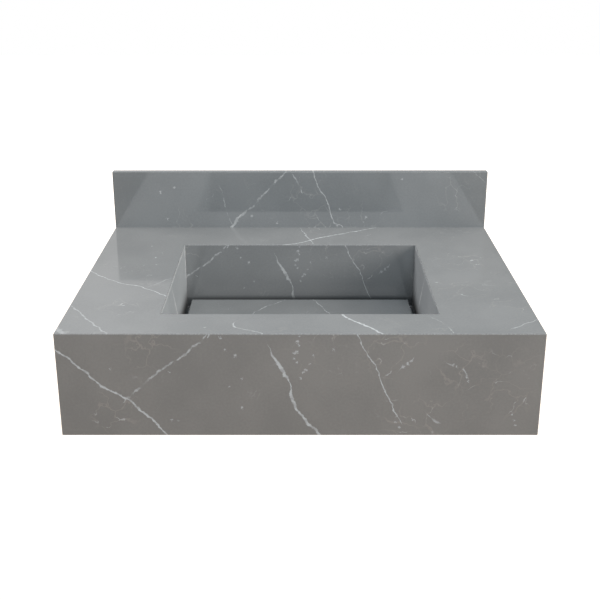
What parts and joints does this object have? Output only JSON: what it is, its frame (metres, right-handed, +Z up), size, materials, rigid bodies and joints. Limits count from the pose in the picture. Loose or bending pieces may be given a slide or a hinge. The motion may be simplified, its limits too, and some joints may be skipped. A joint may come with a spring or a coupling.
{
  "type": "vanity top with sink",
  "caption": "Polished marble-look stone vanity top with deep aprons, a backsplash and a rectangular basin whose drain is hidden under a lift-out stone cover.",
  "frame": {"origin": "middle of the deck's rear edge, at the level of its top face, on the wall plane", "axes": "+X to the right as seen from the front, +Y into the wall, +Z up"},
  "size_m": [0.65, 0.5, 0.362],
  "materials": {
    "polished_stone": "polished",
    "sawn_stone": "sawn",
    "stone_glue": "satin",
    "silicone": "satin",
    "black_rubber": "matte",
    "chromed_brass": "polished",
    "plain_brass": "turned",
    "nylon": "matte",
    "coated_steel": "satin powder coat"
  },
  "bodies": {
    "top": {"apron_glue": "stone_glue", "back_nut": "plain_brass", "backsplash": "polished_stone", "basin_back_wall": "polished_stone", "basin_floor": "polished_stone", "basin_front_wall": "polished_stone", "basin_left_wall": "polished_stone", "basin_right_wall": "polished_stone", "bracket_pads": "silicone", "flange_gasket": "black_rubber", "floor_seal": "silicone", "friction_ring": "nylon", "front_apron": "polished_stone", "left_apron": "polished_stone", "left_bracket": "coated_steel", "left_rail": "sawn_stone", "rear_rail": "sawn_stone", "right_apron": "polished_stone", "right_bracket": "coated_steel", "right_rail": "sawn_stone", "rim_glue": "stone_glue", "seal_ring": "black_rubber", "strainer_plate": "chromed_brass", "tailpiece": "chromed_brass", "top_deck": "polished_stone", "waste_body": "chromed_brass"},
    "cover": {"drain_cover": "polished_stone", "cover_feet": "black_rubber"}
  },
  "joints": [
    {"name": "cover_lift", "type": "slide", "parent": "top", "child": "cover", "axis": [0, 0, 1], "range_m": [0, 0.13]}
  ]
}
